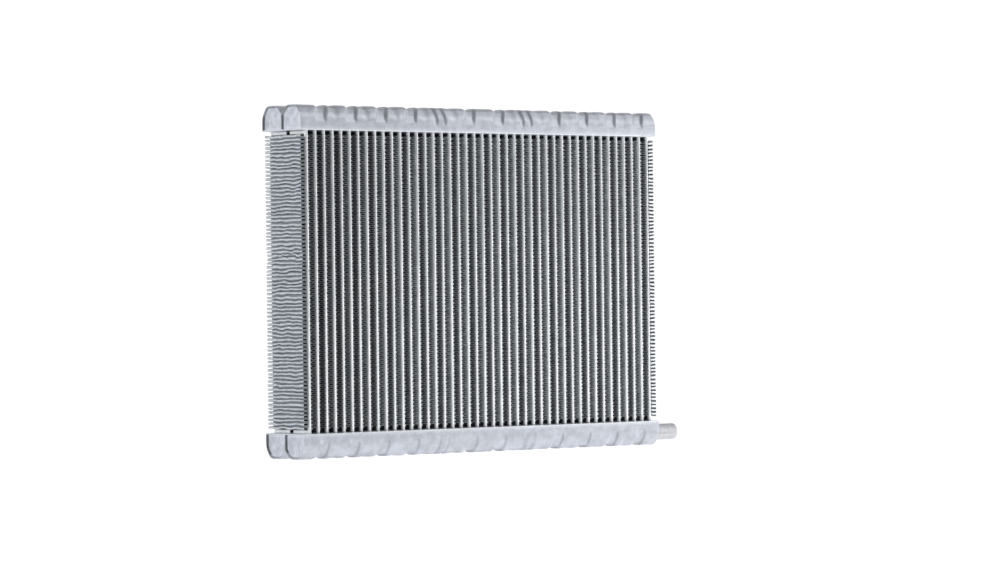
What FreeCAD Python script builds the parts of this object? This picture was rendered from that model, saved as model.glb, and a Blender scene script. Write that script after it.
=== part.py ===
import FreeCAD, Part
import math
import os
import Sketcher

# Evaporator core of a vehicle air conditioner.
# X runs along the tanks, Y runs through the core from its front face to its rear face, Z is up.
# The origin is under the middle of the whole part, port stubs included, on the surface that it stands on.
# Both tanks are the same B section: a plate on the core side and two domed lobes behind it.

doc = FreeCAD.newDocument("evaporator_core")
sizes = doc.addObject("Spreadsheet::Sheet", "sizes")

DRIVING = [
    ("tube_count", 43, "flat tubes in each row"),
    ("tube_pitch", 7.0, "from one tube to the next along X"),
    ("tube_thickness", 2.2, "flat tube, across its flats"),
    ("tube_width", 17.75, "flat tube, from nose to nose"),
    ("tube_nose", 1.1, "length of the tapered nose on each tube edge"),
    ("tube_insert", 2.5, "how far a tube end stands inside its tank"),
    ("row_gap", 2.7, "free space between the front and the rear row"),
    ("core_height", 196.0, "from plate to plate"),
    ("fin_depth", 37.2, "fin strip, from front to rear"),
    ("fin_sheet", 0.3, "fin strip thickness"),
    ("fin_legs", 15, "legs in one fin strip, from crest to crest"),
    ("fin_top_gap", 2.3, "from the last fold to the upper plate"),
    ("fin_bottom_gap", 2.9, "from the first fold to the lower plate"),
    ("tank_margin", 6.5, "tank beyond the centre of the outer tube"),
    ("tube_clearance", 0.25, "from a tube's nose to the tank wall beside it"),
    ("tank_height", 16.7, "from the plate's core side to the crest"),
    ("tank_wall", 1.4, "wall of the domed cover"),
    ("plate_thickness", 1.5, "tube plate"),
    ("shoulder_reach", 7.2, "from a lobe's outer wall across to its flat crest"),
    ("shoulder_drop", 7.3, "from the crest down to the top of a lobe's wall"),
    ("slant_reach", 4.3, "from the outer wall across to the upper end of the shoulder's slanted flat"),
    ("slant_drop", 1.1, "from the crest down to the upper end of the slanted flat"),
    ("groove_pitch", 24.9, "from one pressed groove to the next"),
    ("groove_width", 8.5, "pressed groove, along X"),
    ("groove_depth", 0.8, "pressed groove"),
    ("groove_start", 3.5, "from the cover's rim to the groove's lower end"),
    ("groove_land", 8.0, "plain length kept at each end of a tank"),
    ("bead_width", 3.4, "narrow bead of a pair"),
    ("bead_pitch", 7.0, "from one bead of a pair to the other"),
    ("cap_thickness", 1.5, "end cap"),
    ("cap_recess", 1.9, "end cap behind the rim of its tank"),
    ("partition_thickness", 1.5, "wall across a lobe, half way along"),
    ("crossover_count", 4, "windows that join the two lower lobes"),
    ("crossover_length", 14.0, "window, along X"),
    ("crossover_height", 4.0, "window, along Z"),
    ("crossover_pitch", 28.0, "from one window to the next"),
    ("port_diameter", 11.0, "port stub, outside"),
    ("port_wall", 1.2, "port stub wall"),
    ("port_reach", 21.5, "port stub beyond the tank's rim"),
    ("port_insert", 2.0, "port stub inside the end cap"),
    ("port_drop", 8.1, "port axis below the lower plate's core side"),
]

for row, (alias, value, note) in enumerate(DRIVING, start=1):
    sizes.set(f"A{row}", note)
    sizes.set(f"B{row}", str(value))
    sizes.setAlias(f"B{row}", alias)
doc.recompute()

TUBE_SPAN = "(sizes.tube_count - 1) * sizes.tube_pitch"
TANK_LENGTH = f"({TUBE_SPAN} + 2 * sizes.tank_margin)"
CORE_DEPTH = "(2 * sizes.tube_width + sizes.row_gap)"
TANK_DEPTH = f"({CORE_DEPTH} + 2 * (sizes.tank_wall + sizes.tube_clearance))"
MIDDLE_WALL_HALF = "(sizes.row_gap / 2 - sizes.tube_clearance)"
LOBE_CENTRE = f"({TANK_DEPTH} / 4)"
CORE_MIDDLE_X = "(-sizes.port_reach / 2)"
LOWER_FACE_Z = "sizes.tank_height"
UPPER_FACE_Z = "(sizes.tank_height + sizes.core_height)"
BORE_RADIUS = "(sizes.port_diameter / 2 - sizes.port_wall)"
UPPER = 1
LOWER = -1
SAME = 1e-7
PAIRED_GROOVE = 1


def value_of(expression):
    """The number that an expression on the sheet comes to."""
    number = sizes.evalExpression(expression)
    return float(getattr(number, "Value", number))


def bind(feature, **expressions):
    """Ties properties of a feature to expressions; a double underscore stands for a dot."""
    for name, expression in expressions.items():
        feature.setExpression(name.replace("__", "."), expression)


def place(feature, x=None, y=None, z=None):
    """Ties the place of a feature to expressions on the sheet."""
    for axis, expression in (("x", x), ("y", y), ("z", z)):
        if expression is not None:
            feature.setExpression(f"Placement.Base.{axis}", expression)


def new_body(name):
    body = doc.addObject("PartDesign::Body", name)
    body.Label = name
    return body


def flat_sketch(body, name):
    """A sketch on the body's own XY plane."""
    sketch = body.newObject("Sketcher::SketchObject", name)
    plane = [item for item in body.Origin.OriginFeatures if item.Role == "XY_Plane"][0]
    sketch.AttachmentSupport = [(plane, "")]
    sketch.MapMode = "FlatFace"
    return sketch


def draw_outline(sketch, corners):
    """Closed outline of straight lines through the corners; returns the index of each line."""
    lines = []
    for start, end in zip(corners, corners[1:] + corners[:1]):
        first = FreeCAD.Vector(start[0], start[1], 0)
        second = FreeCAD.Vector(end[0], end[1], 0)
        lines.append(sketch.addGeometry(Part.LineSegment(first, second), False))
    for line, following in zip(lines, lines[1:] + lines[:1]):
        sketch.addConstraint(Sketcher.Constraint("Coincident", line, 2, following, 1))
    return lines


def centred_rectangle(sketch, prefix, length, width):
    """Rectangle about the sketch's origin, its two sides tied to expressions."""
    x = value_of(length) / 2
    y = value_of(width) / 2
    low, right, high, left = draw_outline(sketch, [(-x, -y), (x, -y), (x, y), (-x, y)])
    for line in (low, high):
        sketch.addConstraint(Sketcher.Constraint("Horizontal", line))
    for line in (right, left):
        sketch.addConstraint(Sketcher.Constraint("Vertical", line))
    sketch.addConstraint(Sketcher.Constraint("Symmetric", low, 1, high, 1, -1, 1))
    name_distance(sketch, "DistanceX", low, f"{prefix}_length", length)
    name_distance(sketch, "DistanceY", right, f"{prefix}_width", width)


def name_distance(sketch, kind, line, name, expression):
    """Named dimension along one line, tied to an expression."""
    index = sketch.addConstraint(Sketcher.Constraint(kind, line, 1, line, 2, value_of(expression)))
    sketch.renameConstraint(index, name)
    sketch.setExpression(f"Constraints.{name}", expression)


def slot_rectangle(sketch, prefix, side):
    """Slot for the outer tube of one row; side is -1 for the front row and 1 for the rear row."""
    half = value_of("sizes.tube_thickness") / 2
    near = value_of("sizes.row_gap") / 2
    far = near + value_of("sizes.tube_width")
    corners = [(-half, side * near), (half, side * near), (half, side * far), (-half, side * far)]
    inner, right, outer, left = draw_outline(sketch, corners)
    sketch.addConstraint(Sketcher.Constraint("Horizontal", outer))
    for line in (right, left):
        sketch.addConstraint(Sketcher.Constraint("Vertical", line))
    sketch.addConstraint(Sketcher.Constraint("Symmetric", inner, 1, inner, 2, -2))
    name_distance(sketch, "DistanceX", inner, f"{prefix}_thickness", "sizes.tube_thickness")
    ends = (-1, 1, inner, 1) if side > 0 else (inner, 1, -1, 1)
    index = sketch.addConstraint(Sketcher.Constraint("DistanceY", *ends, near))
    sketch.renameConstraint(index, f"{prefix}_start")
    sketch.setExpression(f"Constraints.{prefix}_start", "sizes.row_gap / 2")
    ends = (right, 1, right, 2) if side > 0 else (right, 2, right, 1)
    index = sketch.addConstraint(Sketcher.Constraint("DistanceY", *ends, far - near))
    sketch.renameConstraint(index, f"{prefix}_width")
    sketch.setExpression(f"Constraints.{prefix}_width", "sizes.tube_width")


def repeat_along_x(body, feature, sketch):
    """Repeats a feature of the first column at every tube of the row."""
    pattern = body.newObject("PartDesign::LinearPattern", "columns")
    pattern.Originals = [feature]
    pattern.Direction = (sketch, ["H_Axis"])
    bind(pattern, Length=TUBE_SPAN, Occurrences="sizes.tube_count")
    body.Tip = pattern


def tube_plate(name, z):
    """Flat plate with one slot for every tube of both rows."""
    body = new_body(name)
    outline = flat_sketch(body, "outline")
    centred_rectangle(outline, "plate", TANK_LENGTH, TANK_DEPTH)
    pad = body.newObject("PartDesign::Pad", "sheet")
    pad.Profile = outline
    bind(pad, Length="sizes.plate_thickness")
    slots = flat_sketch(body, "slots")
    bind(slots, AttachmentOffset__Base__x=f"-({TUBE_SPAN}) / 2")
    slot_rectangle(slots, "front", -1)
    slot_rectangle(slots, "rear", 1)
    doc.recompute()
    pocket = body.newObject("PartDesign::Pocket", "first_column")
    pocket.Profile = slots
    pocket.Type = "ThroughAll"
    pocket.Reversed = True
    repeat_along_x(body, pocket, slots)
    place(body, CORE_MIDDLE_X, None, z)
    return body


def tube_row(name, side):
    """One row of flat tubes, each a separate solid that reaches through both plates."""
    body = new_body(name)
    body.AllowCompound = True
    section = flat_sketch(body, "section")
    half = value_of("sizes.tube_thickness") / 2
    end = value_of("sizes.tube_width") / 2
    flat = end - value_of("sizes.tube_nose")
    corners = [(half, -flat), (half, flat), (0, end), (-half, flat), (-half, -flat), (0, -end)]
    right, _, rear_left, left, _, front_right = draw_outline(section, corners)
    section.addConstraint(Sketcher.Constraint("Symmetric", right, 1, right, 2, -1))
    section.addConstraint(Sketcher.Constraint("Symmetric", right, 1, left, 1, -1, 1))
    section.addConstraint(Sketcher.Constraint("Symmetric", right, 2, left, 2, -1, 1))
    section.addConstraint(Sketcher.Constraint("Symmetric", rear_left, 1, front_right, 1, -1, 1))
    section.addConstraint(Sketcher.Constraint("PointOnObject", rear_left, 1, -2))
    spans = [
        ("thickness", "DistanceX", (left, 2, right, 1), "sizes.tube_thickness"),
        ("width", "DistanceY", (front_right, 1, rear_left, 1), "sizes.tube_width"),
        ("nose", "DistanceY", (right, 2, rear_left, 1), "sizes.tube_nose"),
    ]
    for title, kind, ends, expression in spans:
        index = section.addConstraint(Sketcher.Constraint(kind, *ends, value_of(expression)))
        section.renameConstraint(index, title)
        section.setExpression(f"Constraints.{title}", expression)
    pad = body.newObject("PartDesign::Pad", "tube")
    pad.Profile = section
    bind(pad, Length="sizes.core_height + 2 * (sizes.plate_thickness + sizes.tube_insert)")
    repeat_along_x(body, pad, section)
    start_x = f"{CORE_MIDDLE_X} - {TUBE_SPAN} / 2"
    row_y = f"{side} * (sizes.row_gap + sizes.tube_width) / 2"
    start_z = f"{LOWER_FACE_Z} - sizes.plate_thickness - sizes.tube_insert"
    place(body, start_x, row_y, start_z)
    return body


def polygon(points):
    """Flat face through the points."""
    return Part.Face(Part.makePolygon(points + points[:1]))


def hidden_profile(name, shape):
    """Face or block that other features use and that is no sub-part itself."""
    profile = doc.addObject("Part::Feature", name)
    profile.Shape = shape
    return profile


def fin_face():
    """Side view of one fin strip: a sheet folded to and fro between two tubes, its crests at their flats."""
    reach = value_of("(sizes.tube_pitch - sizes.tube_thickness) / 2")
    tall = value_of("sizes.core_height - sizes.fin_top_gap - sizes.fin_bottom_gap")
    legs = int(value_of("sizes.fin_legs"))
    rise = tall / legs
    run = value_of("sizes.fin_sheet") * math.hypot(2 * reach, rise) / rise
    left = []
    right = []
    for fold in range(legs + 1):
        outward = fold % 2 == 0
        left.append(FreeCAD.Vector(-reach if outward else reach - run, 0, fold * rise))
        right.append(FreeCAD.Vector(run - reach if outward else reach, 0, fold * rise))
    return polygon(left + right[::-1])


def fin_strips():
    """One fin between each two tubes, and one on the outside of each outer tube."""
    profile = hidden_profile("fin_profile", fin_face())
    strips = []
    for number in range(int(value_of("sizes.tube_count")) + 1):
        fin = doc.addObject("Part::Extrusion", f"fin_{number + 1:02d}")
        fin.Base = profile
        fin.DirMode = "Custom"
        fin.Dir = FreeCAD.Vector(0, 1, 0)
        fin.Solid = True
        bind(fin, LengthFwd="sizes.fin_depth")
        column = f"{CORE_MIDDLE_X} - {TUBE_SPAN} / 2 + ({number} - 0.5) * sizes.tube_pitch"
        place(fin, column, "-sizes.fin_depth / 2", f"{LOWER_FACE_Z} + sizes.fin_bottom_gap")
        strips.append(fin)
    return strips


def shoulder_points(inset):
    """One shoulder of a lobe, wall to crest: (how far in from the wall, how far below the crest)."""
    drop = value_of("sizes.shoulder_drop")
    reach = value_of("sizes.shoulder_reach")
    slant_drop = value_of("sizes.slant_drop")
    slant_reach = value_of("sizes.slant_reach")
    slant = math.atan2(slant_reach, drop - slant_drop)
    ease = math.atan2(reach - slant_reach, slant_drop)
    corners = [(0.0, drop), (slant_reach, slant_drop), (reach, 0.0)]
    tilts = [0.0, slant, ease, math.radians(90)]
    points = []
    for (across, down), tilt, following in zip(corners, tilts, tilts[1:]):
        turn = (tilt + following) / 2
        push = inset / math.cos((following - tilt) / 2)
        points.append((across + push * math.cos(turn), down + push * math.sin(turn)))
    return points


def lobe_points(side, inset, foot, middle):
    """Half of the B section, from the foot of the outer wall over the crest to the valley.

    Each point is (y, distance from the core side of the plate). side is -1 for the front lobe.
    inset moves the shoulders and the crest inwards, and middle is how far the valley's end lies
    from the plane between the lobes.
    """
    outer = value_of(TANK_DEPTH) / 2
    crest = value_of("sizes.tank_height")
    shoulder = shoulder_points(inset)
    points = [foot]
    points += [(outer - reach, crest - drop) for reach, drop in shoulder]
    points += [(reach, crest - drop) for reach, drop in shoulder[:0:-1]]
    points.append((middle, crest - value_of("sizes.shoulder_drop")))
    return [(side * y, height) for y, height in points]


def groove_stations():
    """Places along X with the depth of the pressed grooves there, from one end of the tank to the other.

    Counted from the middle of the tank, the second groove of each half is a pair of narrow beads.
    """
    half = value_of(TANK_LENGTH) / 2
    pitch = value_of("sizes.groove_pitch")
    limit = half - value_of("sizes.groove_land")
    wide = value_of("sizes.groove_width") / 2
    narrow = value_of("sizes.bead_width") / 2
    shift = value_of("sizes.bead_pitch") / 2
    troughs = []
    for number in range(int(limit / pitch) + 1):
        centre = (number + 0.5) * pitch
        if number == PAIRED_GROOVE:
            troughs += [(centre - shift, narrow), (centre + shift, narrow)]
        elif centre + wide < limit:
            troughs.append((centre, wide))
    troughs = sorted([(-centre, width) for centre, width in troughs] + troughs)
    depth = value_of("sizes.groove_depth")
    stations = [(-half, 0.0)]
    for centre, width in troughs:
        stations += [(centre - width, 0.0), (centre, depth), (centre + width, 0.0)]
    stations.append((half, 0.0))
    return stations


def patch(near, far, fixed):
    """Faces between two edges; a twisted patch is split so that its outer half stays in the wall.

    near and far are (first point, second point, depth) of two stations. fixed is the index of the
    point that keeps its place in every station, or None where both points move.
    """
    if fixed is None:
        return [polygon([near[0], near[1], far[1], far[0]])]
    shallow, deep = (near, far) if near[2] <= far[2] else (far, near)
    moving = 1 - fixed
    outer = polygon([shallow[fixed], shallow[moving], deep[fixed]])
    if abs(near[2] - far[2]) < SAME:
        return [polygon([near[0], near[1], far[1], far[0]])]
    inner = polygon([deep[fixed], shallow[moving], deep[moving]])
    return [outer, inner]


def cover_block(direction):
    """Outside of a domed cover as a solid block, with its pressed grooves."""
    rim = value_of("sizes.plate_thickness")
    start = rim + value_of("sizes.groove_start")
    outer = value_of(TANK_DEPTH) / 2
    stations = groove_stations()
    faces = []
    for side in (-1, 1):
        rings = []
        for x, depth in stations:
            ring = [(side * outer, rim)] + lobe_points(side, depth, (outer, start), 0.0)
            rings.append([FreeCAD.Vector(x, y, direction * height) for y, height in ring])
        last = len(rings[0]) - 1
        for (ring, (_, depth)), (following, (_, next_depth)) in zip(
                zip(rings, stations), zip(rings[1:], stations[1:])):
            for index in range(last):
                near = (ring[index], ring[index + 1], depth)
                far = (following[index], following[index + 1], next_depth)
                fixed = {1: 0, last - 1: 1}.get(index)
                faces += patch(near, far, fixed)
        for ring in (rings[0], rings[-1]):
            middle = FreeCAD.Vector(ring[0].x, 0, direction * rim)
            faces.append(polygon(ring + [middle]))
    half = stations[-1][0]
    corners = [(-half, -outer), (half, -outer), (half, outer), (-half, outer)]
    faces.append(polygon([FreeCAD.Vector(x, y, direction * rim) for x, y in corners]))
    shell = Part.Shell(Part.makeCompound(faces).Faces)
    shell.sewShape()
    solid = Part.Solid(shell)
    if solid.Volume < 0:
        solid.reverse()
    return solid.removeSplitter()


def lobe_faces(direction):
    """Inside outlines of the front and the rear lobe of a tank, as flat faces across X."""
    wall = value_of("sizes.tank_wall")
    rim = value_of("sizes.plate_thickness")
    middle = value_of(MIDDLE_WALL_HALF)
    foot = (value_of(TANK_DEPTH) / 2 - wall, rim)
    faces = []
    for side in (-1, 1):
        outline = lobe_points(side, wall, foot, middle)
        outline.append((side * middle, rim))
        faces.append(polygon([FreeCAD.Vector(0, y, direction * height) for y, height in outline]))
    return faces


def lobe_outline(direction, prefix):
    """Both inside outlines of a tank, which its cavity and its end caps share."""
    return hidden_profile(f"{prefix}_lobes", Part.makeCompound(lobe_faces(direction)))


def extrude_x(name, base, length):
    """Block of the given outline along X."""
    block = doc.addObject("Part::Extrusion", name)
    block.Base = base
    block.DirMode = "Custom"
    block.Dir = FreeCAD.Vector(1, 0, 0)
    block.Solid = True
    bind(block, LengthFwd=length)
    return block


def cut(name, base, tool):
    result = doc.addObject("Part::Cut", name)
    result.Base = base
    result.Tool = tool
    return result


def crossover_windows():
    """Windows through the wall between the lobes of the lower tank, on the side away from the ports."""
    windows = []
    for number in range(int(value_of("sizes.crossover_count"))):
        window = doc.addObject("Part::Box", f"window_{number + 1}")
        bind(
            window,
            Length="sizes.crossover_length",
            Width="2 * sizes.row_gap",
            Height="sizes.crossover_height",
        )
        x = f"-{number + 1} * sizes.crossover_pitch - sizes.crossover_length / 2"
        z = "-(sizes.tank_height - sizes.shoulder_drop) / 2 - sizes.crossover_height / 2"
        place(window, x, "-sizes.row_gap", z)
        windows.append(window)
    group = doc.addObject("Part::Compound", "windows")
    group.Links = windows
    return group


def tank_cover(direction, prefix, outline, z):
    """Domed cover of one tank, hollowed out along the outline of its lobes."""
    block = hidden_profile(f"{prefix}_block", cover_block(direction))
    cavity = extrude_x(f"{prefix}_cavity", outline, TANK_LENGTH)
    place(cavity, f"-{TANK_LENGTH} / 2")
    cover = cut(f"{prefix}_shell", block, cavity)
    if direction == LOWER:
        cover = cut(f"{prefix}_pierced_shell", cover, crossover_windows())
    cover.Label = f"{prefix}_tank_cover"
    place(cover, CORE_MIDDLE_X, None, z)
    return cover


def port_cylinder(name, radius, side, start, length):
    """Round bar along X at one port; side is -1 in the front lobe and 1 in the rear lobe."""
    bar = doc.addObject("Part::Cylinder", name)
    turn = FreeCAD.Rotation(FreeCAD.Vector(0, 1, 0), 90)
    bar.Placement = FreeCAD.Placement(FreeCAD.Vector(0, 0, 0), turn)
    bind(bar, Radius=radius, Height=length)
    place(bar, start, f"{side} * {LOBE_CENTRE}", f"{LOWER_FACE_Z} - sizes.port_drop")
    return bar


def end_caps(prefix, hand, outline, z):
    """The two caps that close one end of a tank; hand is -1 at the left end and 1 at the right end."""
    name = f"{prefix}_{'right' if hand > 0 else 'left'}_end_caps"
    caps = extrude_x(name, outline, "sizes.cap_thickness")
    inward = "sizes.cap_recess + sizes.cap_thickness" if hand > 0 else "-sizes.cap_recess"
    place(caps, f"{CORE_MIDDLE_X} + {hand} * {TANK_LENGTH} / 2 - ({inward})", None, z)
    return caps


def port_stub(name, side):
    """Round stub that passes through its end cap and stands out beyond the tank."""
    inside = "(sizes.cap_recess + sizes.cap_thickness + sizes.port_insert)"
    start = f"{CORE_MIDDLE_X} + {TANK_LENGTH} / 2 - {inside}"
    length = f"sizes.port_reach + {inside}"
    outer = port_cylinder(f"{name}_bar", "sizes.port_diameter / 2", side, start, length)
    inner = port_cylinder(f"{name}_bore", BORE_RADIUS, side, start, length)
    return cut(name, outer, inner)


def port_holes():
    """Tool that opens the two caps at the ports."""
    reach = "sizes.cap_recess + 2 * sizes.cap_thickness"
    start = f"{CORE_MIDDLE_X} + {TANK_LENGTH} / 2 - ({reach})"
    holes = []
    for word, side in (("front", -1), ("rear", 1)):
        bar = port_cylinder(f"{word}_port_hole", "sizes.port_diameter / 2", side, start, reach)
        holes.append(bar)
    group = doc.addObject("Part::Compound", "port_holes")
    group.Links = holes
    return group


def partition(name, side, direction, z):
    """Wall across one lobe of the lower tank, between two tubes near the middle."""
    face = lobe_faces(direction)[0 if side < 0 else 1]
    wall = extrude_x(name, hidden_profile(f"{name}_outline", face), "sizes.partition_thickness")
    middle = f"{CORE_MIDDLE_X} + (sizes.tube_pitch - sizes.partition_thickness) / 2"
    place(wall, middle, None, z)
    return wall


upper_outline = lobe_outline(UPPER, "upper")
lower_outline = lobe_outline(LOWER, "lower")
nodes = [
    tube_plate("upper_tube_plate", UPPER_FACE_Z),
    tube_plate("lower_tube_plate", f"{LOWER_FACE_Z} - sizes.plate_thickness"),
    tube_row("front_tube_row", -1),
    tube_row("rear_tube_row", 1),
    tank_cover(UPPER, "upper", upper_outline, UPPER_FACE_Z),
    tank_cover(LOWER, "lower", lower_outline, LOWER_FACE_Z),
    end_caps("upper", -1, upper_outline, UPPER_FACE_Z),
    end_caps("upper", 1, upper_outline, UPPER_FACE_Z),
    end_caps("lower", -1, lower_outline, LOWER_FACE_Z),
    partition("lower_front_partition", -1, LOWER, LOWER_FACE_Z),
    partition("lower_rear_partition", 1, LOWER, LOWER_FACE_Z),
    port_stub("outlet_stub", -1),
    port_stub("inlet_stub", 1),
]
blank_caps = end_caps("lower", 1, lower_outline, LOWER_FACE_Z)
blank_caps.Label = "lower_right_blank_caps"
pierced_caps = cut("pierced_caps", blank_caps, port_holes())
pierced_caps.Label = "lower_right_end_caps"
nodes.append(pierced_caps)
nodes += fin_strips()
doc.recompute()

for item in doc.Objects:
    if "Invalid" in item.State or "Error" in item.State:
        raise RuntimeError(f"{item.Label} did not build: {item.State}")

os.makedirs("parts", exist_ok=True)
for node in nodes:
    shape = node.Shape
    if shape.isNull() or not shape.isValid() or not shape.Solids:
        raise RuntimeError(f"{node.Label} has no valid solid")
    shape.exportStep(f"parts/{node.Label}.step")
    box = shape.BoundBox
    print(f"{node.Label}: {len(shape.Solids)} solids, {shape.Volume:.0f} mm3,",
          f"x {box.XMin:.2f} to {box.XMax:.2f}, y {box.YMin:.2f} to {box.YMax:.2f},",
          f"z {box.ZMin:.2f} to {box.ZMax:.2f}")
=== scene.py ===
import math

import bmesh
import bpy
from mathutils import Matrix, Vector, noise


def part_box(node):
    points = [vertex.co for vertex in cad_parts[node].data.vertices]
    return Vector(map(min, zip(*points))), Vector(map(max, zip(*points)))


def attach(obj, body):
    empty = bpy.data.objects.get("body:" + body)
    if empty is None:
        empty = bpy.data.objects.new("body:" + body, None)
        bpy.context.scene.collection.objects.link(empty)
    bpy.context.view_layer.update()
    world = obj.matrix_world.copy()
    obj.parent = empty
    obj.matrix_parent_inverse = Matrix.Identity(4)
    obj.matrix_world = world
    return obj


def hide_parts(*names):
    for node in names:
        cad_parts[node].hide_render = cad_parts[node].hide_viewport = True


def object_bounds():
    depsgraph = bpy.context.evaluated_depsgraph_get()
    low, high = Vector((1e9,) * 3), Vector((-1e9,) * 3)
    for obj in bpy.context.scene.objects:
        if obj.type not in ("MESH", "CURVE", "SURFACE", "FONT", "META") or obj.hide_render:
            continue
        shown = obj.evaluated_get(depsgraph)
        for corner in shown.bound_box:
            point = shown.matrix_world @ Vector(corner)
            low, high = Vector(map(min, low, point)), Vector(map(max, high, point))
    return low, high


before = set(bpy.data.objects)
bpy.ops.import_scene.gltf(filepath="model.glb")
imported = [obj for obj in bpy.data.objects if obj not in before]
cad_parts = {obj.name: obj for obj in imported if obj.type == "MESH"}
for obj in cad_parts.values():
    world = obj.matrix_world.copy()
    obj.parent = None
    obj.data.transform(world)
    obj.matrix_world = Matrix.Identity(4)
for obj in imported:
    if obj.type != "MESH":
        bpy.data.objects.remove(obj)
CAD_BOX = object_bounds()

bl_info = {
    "name": "Evaporator Core",
    "version": (1, 0, 0),
    "blender": (4, 5, 0),
    "location": "View3D > Sidebar > Evaporator",
    "description": "Dresses the packed evaporator core: domed tanks, tube plates, flat tubes and folded fins",
    "category": "Object",
}

# All sizes are in metres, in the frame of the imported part.
# X runs along the tanks, Y from the front face to the rear face, Z is up.
MM = 0.001
BODY = "root"
FRONT, REAR = -1, 1
UPPER, LOWER = 1, -1
TANKS = {"upper": UPPER, "lower": LOWER}


def fin_nodes():
    return sorted(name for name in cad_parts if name.startswith("fin_"))


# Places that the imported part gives.
UPPER_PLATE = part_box("upper_tube_plate")
LOWER_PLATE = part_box("lower_tube_plate")
UPPER_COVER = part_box("upper_tank_cover")
FRONT_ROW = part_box("front_tube_row")
REAR_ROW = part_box("rear_tube_row")
LEFT_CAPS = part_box("upper_left_end_caps")
RIGHT_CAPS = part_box("upper_right_end_caps")
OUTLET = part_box("outlet_stub")
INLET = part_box("inlet_stub")
FINS = [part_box(name) for name in fin_nodes()]

TANK_LEFT, TANK_RIGHT = UPPER_COVER[0].x, UPPER_COVER[1].x
TANK_MIDDLE = (TANK_LEFT + TANK_RIGHT) / 2
TANK_HALF_LENGTH = (TANK_RIGHT - TANK_LEFT) / 2
TANK_HALF_DEPTH = UPPER_COVER[1].y
TANK_HEIGHT = UPPER_COVER[1].z - UPPER_PLATE[0].z
TANK_WALL = TANK_HALF_DEPTH - LEFT_CAPS[1].y
MIDDLE_WALL_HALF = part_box("lower_rear_partition")[0].y
FACE_HEIGHT = {UPPER: UPPER_PLATE[0].z, LOWER: LOWER_PLATE[1].z}
TUBE_PITCH = FINS[1][0].x - FINS[0][0].x
TUBE_THICKNESS = FINS[1][0].x - FINS[0][1].x
TUBE_COUNT = len(FINS) - 1
FIRST_TUBE = FINS[0][1].x + TUBE_THICKNESS / 2
ROWS = {FRONT: (FRONT_ROW[0].y, FRONT_ROW[1].y), REAR: (REAR_ROW[0].y, REAR_ROW[1].y)}
CORE_FACE = REAR_ROW[1].y

# Colours of the painted shade between the tubes, and of the painted highlight ticks beside them.
INSIDE_SHADE_COLOUR = (0.045, 0.048, 0.052)
TICK_HIGHLIGHT_COLOUR = (0.72, 0.75, 0.79)

# Where a finish changes: how far in from the core's face, or away from a plate, a tube or a fold. All but
# FLUX mark where painted shade or a painted highlight starts and fades.
NOSE_REACH = 1.45 * MM
NOSE_FADE = 0.6 * MM
RIM_REACH = 1.7 * MM
RIM_FADE = 4.5 * MM
FLUX_NEAR, FLUX_FAR = 2.6 * MM, 4.2 * MM
TICK_NEAR, TICK_FAR = 0.4 * MM, 0.9 * MM
SHADED_NEAR, SHADED_FAR = 1.4 * MM, 2.4 * MM
FOLD_NEAR, FOLD_FAR = 1.2 * MM, 3.0 * MM

# Sockets that a Mix node uses for colours.
MIX_FACTOR, MIX_FIRST, MIX_SECOND, MIX_RESULT = 0, 6, 7, 2


def size_property(name, description, millimetres):
    return bpy.props.FloatProperty(
        name=name, description=description, default=millimetres * MM, unit="LENGTH")


def colour_property(name, description, default):
    return bpy.props.FloatVectorProperty(
        name=name, description=description, default=default, min=0, max=1, size=3, subtype="COLOR")


def angle_property(name, description, degrees):
    return bpy.props.FloatProperty(
        name=name, description=description, default=math.radians(degrees), subtype="ANGLE")


def share_property(name, description, default):
    return bpy.props.FloatProperty(
        name=name, description=description, default=default, min=0, max=1, subtype="FACTOR")


def power_property(name, description, watts):
    return bpy.props.FloatProperty(
        name=name, description=description, default=watts, min=0, unit="POWER")


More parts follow.
